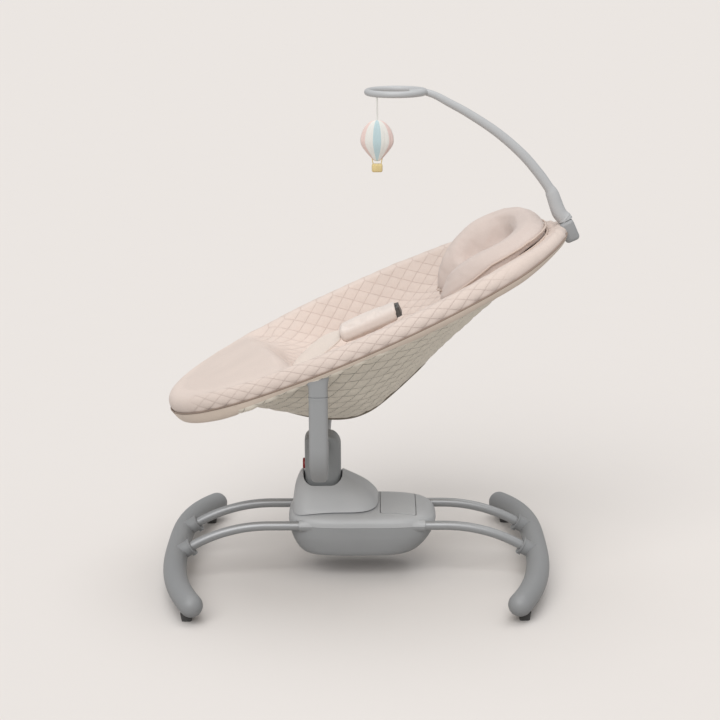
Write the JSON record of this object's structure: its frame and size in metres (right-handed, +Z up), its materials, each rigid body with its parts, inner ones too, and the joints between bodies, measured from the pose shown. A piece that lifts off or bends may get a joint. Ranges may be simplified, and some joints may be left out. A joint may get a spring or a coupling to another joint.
{
  "type": "electric baby swing",
  "caption": "Side-to-side baby swing: padded bucket seat with toy bar on a fork and post, motor housing with hood, bent tubes and C-shaped legs with rubber pads.",
  "frame": {"origin": "on the floor under the middle of the whole object", "axes": "+Z up, +X towards the raised head end of the seat, -Y towards the near side; the seat swings about an axis along X"},
  "size_m": [0.6716, 0.56, 0.79],
  "materials": {
    "leg_plastic": "satin grey moulding",
    "dark_plastic": "satin dark grey moulding",
    "steel": "satin grey tube",
    "rubber": "matt black",
    "brass": "plain bearing metal",
    "gear_plastic": "natural white",
    "cell": "plain sleeve",
    "board": "green laminate",
    "black_plastic": "matt black",
    "red_plastic": "dark red",
    "lining": "quilted powder-pink cloth",
    "pouch": "quilted grey-beige cloth",
    "webbing": "cream webbing",
    "buckle_plastic": "charcoal",
    "bar_plastic": "light grey",
    "plush": "striped plush"
  },
  "bodies": {
    "base": {"leg_left": "leg_plastic", "leg_right": "leg_plastic", "base_tube_left_near": "steel", "base_tube_left_far": "steel", "base_tube_right_near": "steel", "base_tube_right_far": "steel", "foot_pad_left_near": "rubber", "foot_pad_left_far": "rubber", "foot_pad_right_near": "rubber", "foot_pad_right_far": "rubber", "housing_lower": "leg_plastic", "housing_upper": "leg_plastic", "hood": "leg_plastic", "battery_bay": "dark_plastic", "battery_cell_1": "cell", "battery_cell_2": "cell", "battery_cell_3": "cell", "battery_cell_4": "cell", "housing_screw_1": "steel", "housing_screw_2": "steel", "housing_screw_3": "steel", "housing_screw_4": "steel", "circuit_board": "board", "speaker": "black_plastic", "bearing_block_left": "dark_plastic", "bearing_block_right": "dark_plastic", "swing_bush_left": "brass", "swing_bush_right": "brass", "motor_gearbox": "dark_plastic", "drive_motor": "steel"},
    "swing": {"post": "dark_plastic", "swing_axle": "steel", "sector_gear": "gear_plastic", "fork": "leg_plastic", "rim_stub_near": "dark_plastic", "rim_stub_far": "dark_plastic", "seat_ring": "steel", "seat_lining": "lining", "seat_pouch": "pouch", "head_pillow": "lining", "shoulder_strap_near": "webbing", "shoulder_strap_far": "webbing", "crotch_pad": "lining", "crotch_strap": "webbing", "buckle": "buckle_plastic", "toy_bar_socket": "dark_plastic"},
    "pinion": {"drive_pinion": "gear_plastic"},
    "post_button": {"release_button": "red_plastic"},
    "lid": {"battery_lid": "leg_plastic"},
    "harness_button": {"buckle_button": "buckle_plastic"},
    "toy_arm": {"toy_bar": "bar_plastic"},
    "toy": {"toy_balloon": "plush", "toy_ribbon": "webbing"},
    "latch_left_near": {"sleeve_latch_left_near": "dark_plastic"},
    "latch_left_far": {"sleeve_latch_left_far": "dark_plastic"},
    "latch_right_near": {"sleeve_latch_right_near": "dark_plastic"},
    "latch_right_far": {"sleeve_latch_right_far": "dark_plastic"}
  },
  "joints": [
    {"name": "swing_hinge", "type": "hinge", "parent": "base", "child": "swing", "pos_m": [-0.0778, 0, 0.08], "axis": [1, 0, 0], "range_deg": [-7, 7]},
    {"name": "pinion_spin", "type": "hinge", "parent": "base", "child": "pinion", "pos_m": [-0.0282, 0.05275, 0.08], "axis": [1, 0, 0], "range_deg": [-45, 45]},
    {"name": "release_press", "type": "slide", "parent": "swing", "child": "post_button", "axis": [1, 0, 0], "range_m": [0, 0.0025], "stiffness_N_per_m": 800},
    {"name": "lid_hinge", "type": "hinge", "parent": "base", "child": "lid", "pos_m": [0.0737, 0, 0.116], "axis": [0, 1, 0], "range_deg": [0, 85]},
    {"name": "harness_press", "type": "slide", "parent": "swing", "child": "harness_button", "axis": [0.4035, 0, -0.915], "range_m": [0, 0.002], "stiffness_N_per_m": 800},
    {"name": "toy_bar_turn", "type": "hinge", "parent": "swing", "child": "toy_arm", "pos_m": [0.31205, 0, 0.57938], "axis": [-0.4035, 0, 0.915], "range_deg": [-90, 90]},
    {"name": "toy_sway", "type": "hinge", "parent": "toy_arm", "child": "toy", "pos_m": [0.01271, -0.03478, 0.7848], "axis": [0.7284, -0.6852, 0], "range_deg": [-40, 40]},
    {"name": "latch_left_near_press", "type": "slide", "parent": "base", "child": "latch_left_near", "axis": [-0.5, 0, 0.866], "range_m": [0, 0.0015], "stiffness_N_per_m": 600},
    {"name": "latch_left_far_press", "type": "slide", "parent": "base", "child": "latch_left_far", "axis": [-0.5, 0, 0.866], "range_m": [0, 0.0015], "stiffness_N_per_m": 600},
    {"name": "latch_right_near_press", "type": "slide", "parent": "base", "child": "latch_right_near", "axis": [0.5, 0, 0.866], "range_m": [0, 0.0015], "stiffness_N_per_m": 600},
    {"name": "latch_right_far_press", "type": "slide", "parent": "base", "child": "latch_right_far", "axis": [0.5, 0, 0.866], "range_m": [0, 0.0015], "stiffness_N_per_m": 600}
  ],
  "couplings": [
    {"joint": "pinion_spin", "follows": "swing_hinge", "ratio": -6}
  ]
}
